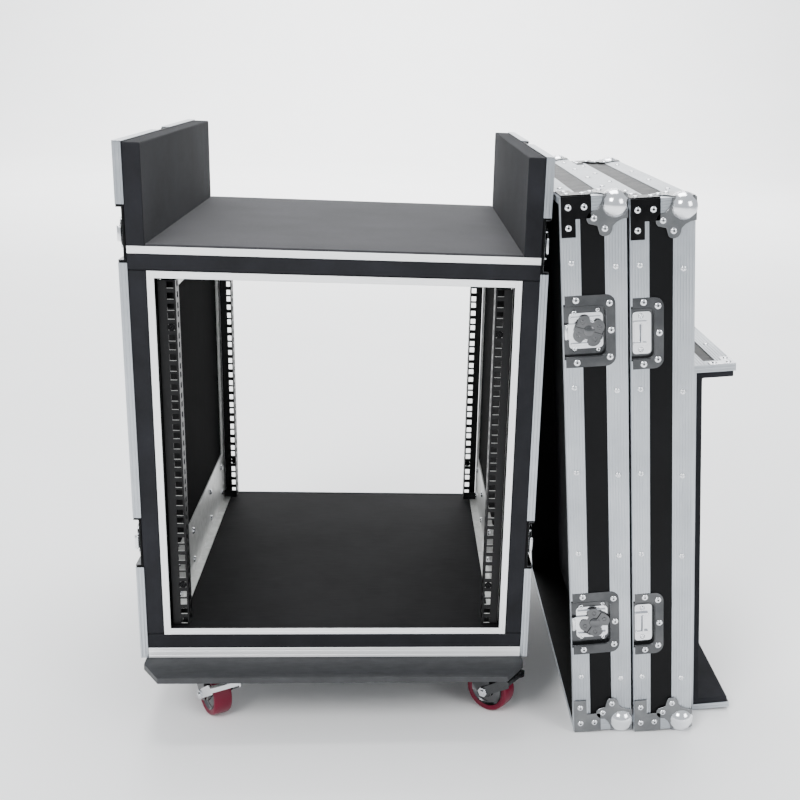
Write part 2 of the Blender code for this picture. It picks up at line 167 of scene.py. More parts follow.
def make_materials():
    made = {}

    def keep(name, nodes):
        made[name] = nodes.material

    m = Nodes("laminate", (0.002, 0.002, 0.0025), 0.5)
    m.shader.inputs["Specular IOR Level"].default_value = 0.12
    m.colour(m.noise(9), (0.0012, 0.0013, 0.0016), (0.0026, 0.0028, 0.0034))
    m.rough(m.noise(60), 0.36, 0.52)
    m.bump(m.noise(1500, 2), 0.25, 0.0003)
    keep("laminate", m)

    m = Nodes("foam", (0.012, 0.0125, 0.015), 0.93)
    m.shader.inputs["Specular IOR Level"].default_value = 0.25
    m.colour(m.noise(14, 4), (0.008, 0.0083, 0.010), (0.014, 0.0145, 0.018))
    m.rough(m.noise(200), 0.86, 0.98)
    m.bump(m.noise(1100, 3, 0.7), 0.5, 0.0006)
    keep("foam", m)

    m = Nodes("deck_mat", (0.04, 0.039, 0.044), 0.9)
    m.colour(m.noise(10, 4), (0.021, 0.021, 0.024), (0.032, 0.0315, 0.036))
    m.rough(m.noise(200), 0.82, 0.95)
    m.bump(m.noise(1000, 3, 0.7), 0.5, 0.0006)
    keep("deck_mat", m)

    m = Nodes("sleeve", (0.004, 0.004, 0.0045), 0.6)
    m.shader.inputs["Specular IOR Level"].default_value = 0.015
    m.colour(m.noise(7, 4), (0.0008, 0.0008, 0.0009), (0.0022, 0.0022, 0.0025))
    m.rough(m.noise(30, 4, 0.6, (1, 12, 1)), 0.76, 0.92)
    m.bump(m.noise(700, 2), 0.25, 0.0003)
    keep("sleeve", m)

    m = Nodes("tray", (0.011, 0.011, 0.012), 0.7)
    m.shader.inputs["Specular IOR Level"].default_value = 0.07
    m.colour(m.noise(7, 5, 0.65), (0.004, 0.004, 0.0044), (0.009, 0.009, 0.0099))
    m.rough(m.noise(30, 4, 0.6, (1, 12, 1)), 0.6, 0.8)
    m.bump(m.noise(700, 2), 0.25, 0.0003)
    keep("tray", m)

    m = Nodes("board", (0.022, 0.023, 0.026), 0.55)
    scuff = m.noise(38, 6, 0.7, (1, 5, 1))
    m.colour(scuff, (0.016, 0.017, 0.019), (0.034, 0.036, 0.040), 0.35, 0.8)
    m.rough(m.noise(50), 0.45, 0.7)
    m.bump(m.noise(900, 2), 0.3, 0.0003)
    keep("board", m)

    m = Nodes("aluminium", (0.56, 0.59, 0.63), 0.3, 1.0)
    m.colour(m.noise(12, 4), (0.41, 0.435, 0.465), (0.51, 0.535, 0.565))
    m.rough(m.noise(90, 4), 0.24, 0.42)
    m.bump(m.noise(1400, 2), 0.08, 0.0002)
    keep("aluminium", m)

    # Near-white, weakly metallic aluminium for the front-facing edge strips: painted highlight, standing in
    # for the light these strips catch.
    m = Nodes("aluminium_painted_highlight", (0.95, 0.96, 0.97), 0.42, 0.3)
    m.colour(m.noise(12, 4), (0.93, 0.94, 0.95), (0.98, 0.98, 0.99))
    m.rough(m.noise(90, 4), 0.36, 0.5)
    m.bump(m.noise(1400, 2), 0.08, 0.0002)
    keep("aluminium_painted_highlight", m)

    m = Nodes("galvanised", (0.5, 0.51, 0.5), 0.4, 0.6)
    cells = m.add("ShaderNodeTexVoronoi", Scale=110.0)
    m.link(m.coords, cells.inputs["Vector"])
    m.colour(cells.outputs["Color"], (0.47, 0.475, 0.46), (0.60, 0.605, 0.59), 0.1, 0.9)
    m.rough(m.noise(45, 4), 0.3, 0.5)
    m.bump(m.noise(500, 2), 0.1, 0.0002)
    keep("galvanised", m)

    m = Nodes("rail", (0.003, 0.003, 0.0035), 0.4, 0.0)
    m.shader.inputs["Specular IOR Level"].default_value = 0.22
    m.colour(m.noise(20, 3), (0.001, 0.001, 0.0012), (0.003, 0.003, 0.0036))
    m.rough(m.noise(150), 0.32, 0.5)
    m.bump(m.noise(1800, 2), 0.2, 0.0002)
    keep("rail", m)

    m = Nodes("chrome", (0.80, 0.81, 0.83), 0.14, 1.0)
    m.colour(m.noise(25, 3), (0.74, 0.75, 0.78), (0.86, 0.87, 0.89))
    m.rough(m.noise(70, 4), 0.10, 0.22)
    m.bump(m.noise(300, 2), 0.05, 0.0003)
    keep("chrome", m)

    # Darker copy of the plated steel for the ball corners' legs and the low braces, while the balls are
    # bright chrome: painted dark reflection.
    m = Nodes("corner", (0.20, 0.205, 0.21), 0.2, 1.0)
    m.colour(m.noise(25, 3), (0.14, 0.145, 0.15), (0.23, 0.235, 0.24))
    m.rough(m.noise(70, 4), 0.16, 0.30)
    m.bump(m.noise(300, 2), 0.05, 0.0003)
    keep("corner", m)

    m = Nodes("wing", (0.11, 0.112, 0.116), 0.2, 1.0)
    m.colour(m.noise(25, 3), (0.10, 0.102, 0.106), (0.15, 0.152, 0.156))
    m.rough(m.noise(70, 4), 0.14, 0.26)
    m.bump(m.noise(300, 2), 0.05, 0.0003)
    keep("wing", m)

    # Dark steel for the latch dishes: its dark tone stands in for the shade inside the recess (painted
    # shade). The forks and the right brake pedal share it.
    m = Nodes("dish", (0.08, 0.082, 0.085), 0.2, 1.0)
    m.colour(m.noise(25, 3), (0.06, 0.062, 0.065), (0.105, 0.107, 0.11))
    m.rough(m.noise(70, 4), 0.16, 0.32)
    m.bump(m.noise(300, 2), 0.06, 0.0003)
    keep("dish", m)

    # Still darker plated steel for the covers' top braces: painted dark reflection. The rail screws share it.
    m = Nodes("dark_plate", (0.01, 0.01, 0.0105), 0.3, 1.0)
    m.colour(m.noise(25, 3), (0.006, 0.006, 0.0065), (0.014, 0.014, 0.0145))
    m.rough(m.noise(70, 4), 0.25, 0.42)
    m.bump(m.noise(600, 2), 0.08, 0.0002)
    keep("dark_plate", m)

    m = Nodes("tread", (0.13, 0.003, 0.02), 0.3)
    m.shader.inputs["Specular IOR Level"].default_value = 0.25
    m.colour(m.noise(30, 4), (0.11, 0.0025, 0.016), (0.16, 0.004, 0.026))
    m.rough(m.noise(80, 4), 0.28, 0.45)
    m.bump(m.noise(500, 3), 0.12, 0.0003)
    keep("tread", m)

    m = Nodes("floor", (0.9, 0.9, 0.9), 0.9)
    m.colour(m.noise(2), (0.93, 0.93, 0.93), (0.95, 0.95, 0.95))
    keep("floor", m)
    return made


MATERIALS = make_materials()


# ---------------------------------------------------------------- shapes: lists of (points, faces)


def box(low, high):
    xs, ys, zs = (sorted(pair) for pair in zip(low, high))
    points = [(x, y, z) for x in xs for y in ys for z in zs]
    faces = [(0, 1, 3, 2), (4, 6, 7, 5), (0, 4, 5, 1), (2, 3, 7, 6), (0, 2, 6, 4), (1, 5, 7, 3)]
    return points, faces


def prism(outline, axis, low, high):
    points = []
    for level in (low, high):
        for a, b in outline:
            points.append({0: (level, a, b), 1: (a, level, b), 2: (a, b, level)}[axis])
    count = len(outline)
    faces = [tuple(range(count)), tuple(range(2 * count - 1, count - 1, -1))]
    faces += [(i, i + count, (i + 1) % count + count, (i + 1) % count) for i in range(count)]
    return points, faces


def lathe(profile, steps, axis=2, centre=(0, 0, 0)):
    """Turns (radius, height) points about an axis. The ends lie on the axis, or the profile is closed."""
    points, rings = [], []
    for r, h in profile:
        if r == 0:
            rings.append([len(points)] * steps)
            points.append((0, 0, h))
        else:
            rings.append(list(range(len(points), len(points) + steps)))
            points += [(r * cos(2 * pi * i / steps), r * sin(2 * pi * i / steps), h) for i in range(steps)]
    pairs = list(zip(rings, rings[1:]))
    if profile[0][0] != 0:
        pairs.append((rings[-1], rings[0]))
    faces = []
    for a, b in pairs:
        for i in range(steps):
            j = (i + 1) % steps
            face = []
            for index in (a[i], a[j], b[j], b[i]):
                if index not in face:
                    face.append(index)
            faces.append(tuple(face))
    turned = {0: lambda p: (p[2], p[0], p[1]), 1: lambda p: (p[1], p[2], p[0]), 2: lambda p: p}[axis]
    return [tuple(c + d for c, d in zip(centre, turned(p))) for p in points], faces


def torus(centre, ring, tube, axis=2, steps=24, around=8):
    profile = [
        (ring + tube * cos(2 * pi * i / around), tube * sin(2 * pi * i / around)) for i in range(around)
    ]
    return lathe(profile, steps, axis, centre)


def strip(run, wide, normal, along, across, face, out, thick=1.4, grooves=5):
    """An extruded strip with fine lengthwise grooves. run, wide and normal are axis numbers."""
    low, high = sorted(across)
    rim = min(1.0, (high - low) / 5)
    outline = [(low, 0), (low, thick - 0.5), (low + 0.5, thick)]
    gap = (high - low - 2 * rim) / max(grooves, 1)
    for k in range(grooves):
        middle = low + rim + gap * (k + 0.5)
        half = min(0.9, gap * 0.3)
        outline += [(middle - half, thick), (middle - half * 0.4, thick - 0.45)]
        outline += [(middle + half * 0.4, thick - 0.45), (middle + half, thick)]
    outline += [(high - 0.5, thick), (high, thick - 0.5), (high, 0)]
    points = []
    for level in along:
        for a, b in outline:
            point = [0, 0, 0]
            point[run], point[wide], point[normal] = level, a, face + out * b
            points.append(tuple(point))
    count = len(outline)
    faces = [tuple(range(count)), tuple(range(2 * count - 1, count - 1, -1))]
    faces += [(i, i + count, (i + 1) % count + count, (i + 1) % count) for i in range(count)]
    return points, faces


def arc(centre, radius, start, stop, steps):
    return [
        (
            centre[0] + radius * cos(radians(start + (stop - start) * i / steps)),
            centre[1] + radius * sin(radians(start + (stop - start) * i / steps)),
        )
        for i in range(steps + 1)
    ]


def rounded(x0, y0, x1, y1, r, steps=4):
    return (
        arc((x1 - r, y1 - r), r, 0, 90, steps)
        + arc((x0 + r, y1 - r), r, 90, 180, steps)
        + arc((x0 + r, y0 + r), r, 180, 270, steps)
        + arc((x1 - r, y0 + r), r, 270, 360, steps)
    )


def placed(shape, matrix):
    points, faces = shape
    return [tuple(matrix @ Vector(p)) for p in points], faces


def axes(origin, u, v, n):
    """The matrix that takes (u, v, n) coordinates to the frame those directions are given in."""
    columns = [Vector(u), Vector(v), Vector(n), Vector(origin)]
    matrix = Matrix.Identity(4)
    for c, column in enumerate(columns):
        for row in range(3):
            matrix[row][c] = column[row]
    return matrix


def rivet(point, normal, radius=4.8, height=1.9):
    """A domed rivet head with a small hole in its middle. normal is a signed axis number from 1 to 3."""
    axis, sign = abs(normal) - 1, (1 if normal > 0 else -1)
    dome = [(radius * 0.6, 0.9), (radius * 0.88, 0.45), (radius, 0), (0, -0.15)]
    profile = [(0, 0), (1.35, 0), (1.7, 0.95)] + dome
    return lathe([(r, sign * height * h) for r, h in profile], 14, axis, point)


def screw_head(point, normal, radius=4.5, height=2.4):
    """A flat round head with a socket."""
    axis, sign = abs(normal) - 1, (1 if normal > 0 else -1)
    rim = [(radius * 0.8, height), (radius, height * 0.5), (radius, 0), (0, 0)]
    profile = [(0, 1.0), (1.6, 1.0), (1.9, height)] + rim
    return lathe([(r, sign * h) for r, h in profile], 14, axis, point)


# ---------------------------------------------------------------- pieces


def piece(name, shapes, material, body="case", matrix=CASE, stands_for=(), bevel=0.0, smooth=True):
    bm = bmesh.new()
    for points, faces in shapes:
        corners = [bm.verts.new(matrix @ Vector(p)) for p in points]
        for face in faces:
            bm.faces.new([corners[i] for i in face])
    bmesh.ops.recalc_face_normals(bm, faces=bm.faces)
    mesh = bpy.data.meshes.new(name)
    bm.to_mesh(mesh)
    bm.free()
    obj = bpy.data.objects.new(name, mesh)
    bpy.context.scene.collection.objects.link(obj)
    mesh.materials.append(MATERIALS[material])
    if smooth:
        mesh.shade_smooth()
        mesh.set_sharp_from_angle(angle=SMOOTH_ANGLE)
    if bevel:
        add_bevel(obj, bevel)
    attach(obj, body)
    if stands_for:
        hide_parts(*stands_for)
    return obj


def add_bevel(obj, width, segments=2):
    modifier = obj.modifiers.new("bevel", "BEVEL")
    modifier.width = width
    modifier.segments = segments
    modifier.limit_method = "ANGLE"
    modifier.angle_limit = radians(40)
    modifier.harden_normals = False
    return modifier


def finish_cad_nodes():
    """The CAD nodes that stay get their finish and a slight rounding of their edges."""
    looks = {
        "base_board": ("board", 0.0012),
        "bottom_panel": ("laminate", 0.0006),
        "deck_panel": ("laminate", 0.0006),
        "side_left": ("laminate", 0.0008),
        "side_right": ("laminate", 0.0008),
        "sleeve_left": ("sleeve", 0.0006),
        "sleeve_right": ("sleeve", 0.0006),
        "sleeve_floor": ("tray", 0.0006),
        "sleeve_top": ("sleeve", 0.0006),
        "rail_plate_left": ("galvanised", 0.0004),
        "rail_plate_right": ("galvanised", 0.0004),
        "cover_a_shell": ("laminate", 0.001),
        "cover_b_shell": ("laminate", 0.001),
        "lid_shell": ("laminate", 0.001),
    }
    for corner in ("front_left", "front_right", "rear_left", "rear_right"):
        looks["caster_plate_" + corner] = ("galvanised", 0.0005)
        looks["fork_" + corner] = ("dish", 0.0008)
    # The left pedal is chrome and the right one, the same part, takes the dark dish metal: painted shade.
    looks["brake_pedal_front_left"] = ("chrome", 0.0008)
    looks["brake_pedal_front_right"] = ("dish", 0.0008)
    for name, (material, width) in looks.items():
        obj = frame["nodes"][name]
        if obj.material_slots:
            for slot in obj.material_slots:
                slot.material = MATERIALS[material]
        else:
            obj.data.materials.append(MATERIALS[material])
        add_bevel(obj, width)


# ---------------------------------------------------------------- foam


def foam_block(name, low, high, node, matrix=CASE, material="foam", round_edge=3.0, cuts=10, seed=0.0):
    """A block of foam: edges rounded by the cutter, faces faintly uneven, never outside its CAD solid."""
    low, high = Vector(low), Vector(high)
    size = high - low
    bm = bmesh.new()
    bmesh.ops.create_cube(bm, size=1.0)
    for v in bm.verts:
        v.co = Vector(low[i] + (v.co[i] + 0.5) * size[i] for i in range(3))
    edge = min(round_edge, min(size) * 0.3)
    bmesh.ops.bevel(bm, geom=list(bm.edges), offset=edge, segments=3, profile=0.6, affect="EDGES")
    for axis in range(3):
        steps = max(1, min(cuts, int(size[axis] / 40)))
        for k in range(1, steps):
            point = Vector((0, 0, 0))
            point[axis] = low[axis] + size[axis] * k / steps
            normal = Vector((0, 0, 0))
            normal[axis] = 1
            geom = list(bm.verts) + list(bm.edges) + list(bm.faces)
            bmesh.ops.bisect_plane(bm, geom=geom, plane_co=point, plane_no=normal)
    bm.normal_update()
    middle = (low + high) / 2
    for v in bm.verts:
        wave = noise.noise(v.co * 0.012 + Vector((seed, seed * 2, 0))) * 0.5 + 0.5
        for axis in range(3):
            if abs(v.co[axis] - middle[axis]) > size[axis] / 2 - 0.2:
                v.co[axis] -= (1 if v.co[axis] > middle[axis] else -1) * min(0.8, size[axis] * 0.05) * wave
    for v in bm.verts:
        v.co = matrix @ v.co
    bmesh.ops.recalc_face_normals(bm, faces=bm.faces)
    mesh = bpy.data.meshes.new(name)
    bm.to_mesh(mesh)
    bm.free()
    mesh.materials.append(MATERIALS[material])
    mesh.shade_smooth()
    mesh.set_sharp_from_angle(angle=radians(50))
    obj = bpy.data.objects.new(name, mesh)
    bpy.context.scene.collection.objects.link(obj)
    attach(obj, "case")
    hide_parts(node)
    return obj


def build_foam():
    wall = SLEEVE + GAP
    for side, name in ((-1, "left"), (1, "right")):
        near, far = sorted((side * (wall + GAP), side * SIDE_IN))
        foam_block(
            f"upright_{name}", (near, FRONT, DECK_TOP), (far, REAR, TOP), f"foam_upright_{name}", seed=side
        )
        near, far = sorted((side * wall, side * SIDE_IN))
        low, high = (near, FRONT, SLEEVE_BOTTOM), (far, REAR, SLEEVE_TOP)
        foam_block(f"sheet_{name}", low, high, f"foam_{name}", seed=3 + side)
    bottom_high = (SIDE_IN, REAR, SLEEVE_BOTTOM - GAP)
    foam_block("sheet_bottom", (-SIDE_IN, FRONT, -42.2), bottom_high, "foam_bottom", seed=7)
    top_low = (-SIDE_IN, FRONT, SLEEVE_TOP + GAP)
    foam_block("sheet_top", top_low, (SIDE_IN, REAR, DECK_LOW), "foam_top", seed=9)
    foam_block(
        "mat", (-wall, FRONT, DECK_TOP), (wall, REAR, MAT_TOP), "deck_mat",
        material="deck_mat", round_edge=1.2, seed=5,
    )


# ---------------------------------------------------------------- case


def without(low, high, gaps):
    """The stretches of low to high that the gaps leave."""
    stretches, start = [], low
    for a, b in sorted(gaps):
        if a > start:
            stretches.append((start, a))
        start = max(start, b)
    if start < high:
        stretches.append((start, high))
    return stretches


def build_edging():
    levels = [(z - LATCH_GAP, z + LATCH_GAP) for z in LATCH_LEVELS]
    lid_gap = [(LID_LATCH_Y - LATCH_GAP, LID_LATCH_Y + LATCH_GAP)]
    front_end, rear_end = FRONT - THICK_TRIM, REAR + THICK_TRIM
    front_in, rear_in = FRONT + BAND + 1, REAR - BAND - 1
    for side, name in ((-1, "left"), (1, "right")):
        shapes, rivets = [], []
        skin, head_x = side * (SIDE + GAP), side * (SIDE + 1)
        profile = sorted((side * EDGE_IN, side * EDGE_OUT))
        for stretch in without(BOTTOM, TOP, levels):
            for face, out in ((FRONT - GAP, -1), (REAR + GAP, 1)):
                shapes.append(strip(2, 0, 1, stretch, profile, face, out, TRIM, 2))
            for across in ((front_end, front_in), (rear_in, rear_end)):
                shapes.append(strip(2, 1, 0, stretch, across, skin, side, TRIM, 6))
                low, high = stretch
                count = max(2, round((high - low) / 130))
                for k in range(count):
                    z = low + BAND / 2 + (high - low - BAND) * k / (count - 1)
                    rivets.append(rivet((head_x, across[0] + 18, z), side, HEAD))
        for stretch in without(front_end, rear_end, lid_gap):
            shapes.append(strip(1, 0, 2, stretch, profile, TOP + GAP, 1, TRIM, 2))
        for stretch in without(front_in, rear_in, lid_gap):
            shapes.append(strip(1, 2, 0, stretch, (TOP - BAND, TOP + THICK_TRIM), skin, side, TRIM, 6))
            rivets.append(rivet((head_x, sum(stretch) / 2, TOP - 12), side, HEAD))
        shapes.append(strip(1, 2, 0, (front_in, rear_in), (BOTTOM, BOTTOM + BAND), skin, side, TRIM, 6))
        piece(f"edging_{name}", shapes, "aluminium", stands_for=[f"side_edging_{name}"])
        piece(f"edging_rivets_{name}", rivets, "chrome")
    between = (-EDGE_IN + GAP, EDGE_IN - GAP)
    # The bottom, deck and sleeve-frame strips are aluminium in the near-white edge finish: painted highlight.
    for face, out, name in ((FRONT - GAP, -1, "front"), (REAR + GAP, 1, "rear")):
        low = strip(0, 2, 1, between, (BOTTOM, -35.0), face, out, TRIM, 2)
        piece(
            f"edge_bottom_{name}", [low], "aluminium_painted_highlight", stands_for=[f"bottom_edge_{name}"]
        )
        deck = strip(0, 2, 1, between, (571.6, 581.8), face, out, TRIM, 1)
        piece(f"edge_deck_{name}", [deck], "aluminium_painted_highlight", stands_for=[f"deck_edge_{name}"])
        inner = SLEEVE - 10
        frame_strips = [
            strip(0, 2, 1, (-inner, inner), (SLEEVE_BOTTOM, SLEEVE_BOTTOM + 10), face, out, TRIM, 1),
            strip(0, 2, 1, (-inner, inner), (SLEEVE_TOP - 10, SLEEVE_TOP), face, out, TRIM, 1),
            strip(2, 0, 1, (SLEEVE_BOTTOM, SLEEVE_TOP), (-SLEEVE, -inner), face, out, TRIM, 1),
            strip(2, 0, 1, (SLEEVE_BOTTOM, SLEEVE_TOP), (inner, SLEEVE), face, out, TRIM, 1),
        ]
        piece(
            f"frame_sleeve_{name}", frame_strips, "aluminium_painted_highlight",
            stands_for=[f"sleeve_frame_{name}"],
        )


def perforated(u_lines, v_lines, holes, matrix):
    """A flat sheet on a grid of lines, without the cells in holes, one surface only."""
    points = [(u, v, 0) for u in u_lines for v in v_lines]
    rows = len(v_lines)
    faces = [
        (i * rows + j, (i + 1) * rows + j, (i + 1) * rows + j + 1, i * rows + j + 1)
        for i in range(len(u_lines) - 1)
        for j in range(rows - 1)
        if (i, j) not in holes
    ]
    return placed((points, faces), matrix)


def build_rails():
    """Punched sheet rails: a flange with square holes, a web with slots and a foot left at the two ends."""
    slot_half, foot_end = 4.2, 14.0
    hole_in, hole_out = HOLE_X - HOLE_HALF, HOLE_X + HOLE_HALF
    web_x = RAIL_IN + 1
    levels = [k * UNIT + step for k in range(UNITS) for step in HOLE_STEPS]
    hole_v = [0.0] + [edge for z in levels for edge in (z - HOLE_HALF, z + HOLE_HALF)] + [RAIL_HEIGHT]
    slot_v = [0.0] + [edge for z in levels for edge in (z - slot_half, z + slot_half)] + [RAIL_HEIGHT]
    foot_v = (0.0, foot_end, RAIL_HEIGHT - UNIT, RAIL_HEIGHT)
    cells = {(1, j) for j in range(1, len(hole_v) - 1, 2)}
    for side, side_name in ((-1, "left"), (1, "right")):
        for face, back, name in ((0.0, 1, "front"), (REAR_RAIL, -1, "rear")):
            middle = face + back
            flange = perforated(
                (RAIL_IN, hole_in, hole_out, RAIL_OUT), hole_v, cells,
                axes((0, middle, 0), (side, 0, 0), (0, 0, 1), (0, back, 0)),
            )
            web = perforated(
                (1.0, 9.0, 17.0, RAIL_DEEP), slot_v, cells,
                axes((side * web_x, face, 0), (0, back, 0), (0, 0, 1), (side, 0, 0)),
            )
            foot = perforated(
                (web_x, web_x + 1, 249.4), foot_v, {(1, 1)},
                axes((0, face + back * RAIL_DEEP, 0), (side, 0, 0), (0, 0, 1), (0, back, 0)),
            )
            obj = piece(
                f"rail_{name}_{side_name}_steel", [flange, web, foot], "rail",
                stands_for=[f"rail_{name}_{side_name}"], smooth=False,
            )
            thick = obj.modifiers.new("sheet", "SOLIDIFY")
            thick.thickness = 0.0019
            thick.offset = 0.0
            add_bevel(obj, 0.0003, 1)
            # Thin bright galvanised strips on the lower edge of every hole: painted highlight, standing in
            # for the light these edges catch.
            low, high = (side * (hole_in + 0.1), middle - 0.9), (side * (hole_out - 0.1), middle + 0.9)
            hole_edge_highlights = [box((*low, z - HOLE_HALF), (*high, z - HOLE_HALF + 0.3)) for z in levels]
            piece(f"rail_{name}_{side_name}_cuts", hole_edge_highlights, "galvanised")
    screws = []
    for side in (-1, 1):
        for face, normal in ((-0.2, -2), (REAR_RAIL + 0.2, 2)):
            for z in SCREW_LEVELS:
                screws.append(screw_head((side * HOLE_X, face, z), normal, 5.4, 2.2))
    piece("rail_screws", screws, "dark_plate")
    bolts = []
    for side in (-1, 1):
        for y in (60, 190, 370, 500):
            for z in (22, 74):
                bolts.append(screw_head((side * 250.0, y, z), -side, 5.5, 3.0))
        for y in (80, 280, 480):
            bolts.append(screw_head((side * 250.0, y, 517), -side, 5.5, 3.0))
    piece("rail_plate_bolts", bolts, "chrome")


# ---------------------------------------------------------------- latches and corners


def dish_shapes(reach, half, floor):
    """A latch dish in (u, v, n): u runs in from the open edge, v along it, n out of the panel's face."""
    wide, high, round_out, round_in = half + 14, half - 1, 14, 9
    deep = reach - 13
    wall = (
        arc((deep - round_in, -high + round_in), round_in, -90, 0, 5)
        + arc((deep - round_in, high - round_in), round_in, 0, 90, 5)
    )
    flange = (
        [(2, -high), (2, -wide)] + arc((reach - round_out, -wide + round_out), round_out, -90, 0, 5)
        + arc((reach - round_out, wide - round_out), round_out, 0, 90, 5) + [(2, wide), (2, high)]
        + list(reversed(wall))
    )
    sheet = 1.2
    thin = [(a - sheet, b - sheet if b > 0 else b + sheet) for a, b in reversed(wall)]
    well = [(0.3, -high)] + wall + [(0.3, high), (0.3, high - sheet)] + thin + [(0.3, -high + sheet)]
    base = [(0.4, -high + 0.6)] + [(a - 0.6, b) for a, b in wall[1:-1]] + [(0.4, high - 0.6)]
    return [prism(flange, 2, 0.1, 1.8), prism(well, 2, floor, 1.6), prism(base, 2, floor, floor + 0.8)]


def male_parts(floor):
    """The fixed part of a butterfly latch: base, side ribs, hook plate with its rolled nose, and a cup."""
    f = floor + 0.9
    parts = [prism(rounded(8, -26, 57, 26, 6), 2, f, f + 1.2)]
    for v in (-19, 19):
        parts.append(prism(rounded(10, v - 1.6, 54, v + 1.6, 1.4), 2, f + 1.0, f + 4.2))
    parts.append(prism(rounded(0.6, -11, 30, 11, 3), 2, f + 2.0, f + 4.2))
    nose = [(0, -11), (2.2, -11), (2.8, -10), (2.8, 10), (2.2, 11), (0, 11)]
    parts.append(lathe(nose, 12, 1, (3.4, 0, f + 4.6)))
    cup = [(0, f + 1), (14.5, f + 1), (15, f + 3), (13.5, f + 4.4), (0, f + 4.4)]
    parts.append(lathe(cup, 28, 2, (LATCH_IN, 0, 0)))
    for u, v in ((16, 26.5), (16, -26.5), (50, 29), (50, -29)):
        parts.append(rivet((u, v, f - 0.1), 3, 4.0))
    return parts


def keeper_parts(floor):
    """The hooked bar that a latch pulls on, between its two raised ends."""
    f = floor + 0.9
    parts = [prism(rounded(3, -31, 30, 31, 5), 2, f, f + 1.2)]
    for v in (-15.5, 15.5):
        parts.append(prism(rounded(4, v - 2.2, 24, v + 2.2, 1.6), 2, f + 1.0, f + 5.0))
    hook = [(5, f + 1.1), (15, f + 1.1), (17, f + 5.6), (14.8, f + 6.2), (12.6, f + 3.0), (5, f + 2.8)]
    parts.append(prism(hook, 1, -14, 14))
    for v in (24.5, -24.5):
        parts.append(rivet((15, v, f + 1.1), 3, 4.0))
    return parts


def flange_rivets(reach, half):
    spots = [(reach - 6.5, 0)]
    spots += [(reach - 8.5, v) for v in (half + 1, -half - 1)]
    spots += [(18, v) for v in (half + 7, -half - 7)]
    return [rivet((u, v, 1.7), 3, 4.8, 1.2) for u, v in spots]


def build_dish(name, matrix, male, body="case"):
    reach = MALE_REACH if male else KEEPER_REACH
    parts = dish_shapes(reach, POCKET, DISH_FLOOR)
    # The dish's dark metal is painted shade for its recess.
    piece(f"{name}_dish", parts, "dish", body, matrix, bevel=0.0004)
    inner = male_parts(DISH_FLOOR) if male else keeper_parts(DISH_FLOOR)
    piece(f"{name}_works", inner, "chrome", body, matrix, bevel=0.0003)
    piece(f"{name}_rivets", flange_rivets(reach, POCKET), "chrome", body, matrix)


def build_wing(name, matrix, angle):
    """The turning wing: four round lobes, a raised ring on each, a rib and rolled ends, on a domed boss."""
    turn = Matrix.Rotation(radians(angle), 4, "Z")
    half = [(2.0, 12.5)] + arc((9.5, 9.0), 11.0, 110, 15, 8) + [(20.6, 3)]
    outline = half + [(a, -b) for a, b in reversed(half)]
    outline += [(-a, -b) for a, b in half] + [(-a, b) for a, b in reversed(half)]
    shapes = [prism(outline, 2, -1.2, 0.3)]
    shapes.append(prism(rounded(-20.5, -1.1, 20.5, 1.1, 1.0), 2, 0.2, 2.2))
    for sign in (-1, 1):
        for v in (-9.5, 9.5):
            shapes.append(torus((sign * 12.5, v, 0.4), 2.8, 0.8, 2, 16, 6))
        bar = [(0, -6.0), (1.1, -6.0), (1.3, -5.2), (1.3, 5.2), (1.1, 6.0), (0, 6.0)]
        shapes.append(lathe(bar, 10, 1, (sign * 20.4, 0, 0.0)))
    shapes.append(lathe([(0, -5.6), (6, -5.6), (6, -0.9), (8.2, -0.5), (8.0, 1.4), (5.4, 2.6), (0, 2.9)], 24))
    shapes = [placed(shape, turn) for shape in shapes]
    piece(f"{name}_wing", shapes, "wing", name, matrix, stands_for=[name], bevel=0.0003)


def build_case_latches():
    for side, name in ((-1, "left"), (1, "right")):
        for z, level in zip(LATCH_LEVELS, ("low", "high")):
            spot = CASE @ axes((side * SIDE, FRONT, z), (0, 1, 0), (0, 0, 1), (side, 0, 0))
            build_dish(f"male_{name}_{level}", spot, True)
            centre = CASE @ axes((side * SIDE, FRONT + LATCH_IN, z), (0, 1, 0), (0, 0, 1), (side, 0, 0))
            build_wing(f"latch_front_{name}_{level}", centre, 90)
            back = CASE @ axes((side * SIDE, REAR, z), (0, -1, 0), (0, 0, 1), (side, 0, 0))
            build_dish(f"keeper_{name}_{level}", back, False)
        top = CASE @ axes((side * SIDE, LID_LATCH_Y, TOP), (0, 0, -1), (0, 1, 0), (side, 0, 0))
        build_dish(f"male_{name}_lid", top, True)
        centre = CASE @ axes((side * SIDE, LID_LATCH_Y, TOP - LATCH_IN), (0, 0, -1), (0, 1, 0), (side, 0, 0))
        build_wing(f"latch_lid_{name}", centre, 90)


def corner_leg():
    """One leg of a ball corner in the quarter plane, its corner at the origin."""
    half = (
        [(0, 0), (0, 33), (7, 34), (15, 38), (20, 43)]
        + arc((31, 46), 10.5, 170, 45, 6)
    )
    mirror = [(b, a) for a, b in reversed(half[1:])]
    return half + [(41.5, 41.5)] + mirror


def ball_corner(matrix):
    """A chrome ball with three two-lobed legs. matrix takes the corner's own axes, pointing inwards."""
    radius, steps = 21.0, 16
    ball = [(radius * sin(pi * i / steps), -radius * cos(pi * i / steps)) for i in range(steps + 1)]
    ball[0], ball[-1] = (0, -radius), (0, radius)
    balls = [lathe(ball, 32, 2, (16.0, 9.0, 14.0))]
    legs, rivets = [], []
    for axis in range(3):
        legs.append(prism(corner_leg(), axis, -1.9, 0.0))
        for a, b in ((31, 46), (46, 31)):
            point = {0: (-1.8, a, b), 1: (a, -1.8, b), 2: (a, b, -1.8)}[axis]
            rivets.append(rivet(point, -(axis + 1), 4.8))
    return tuple([placed(shape, matrix) for shape in group] for group in (balls, legs, rivets))


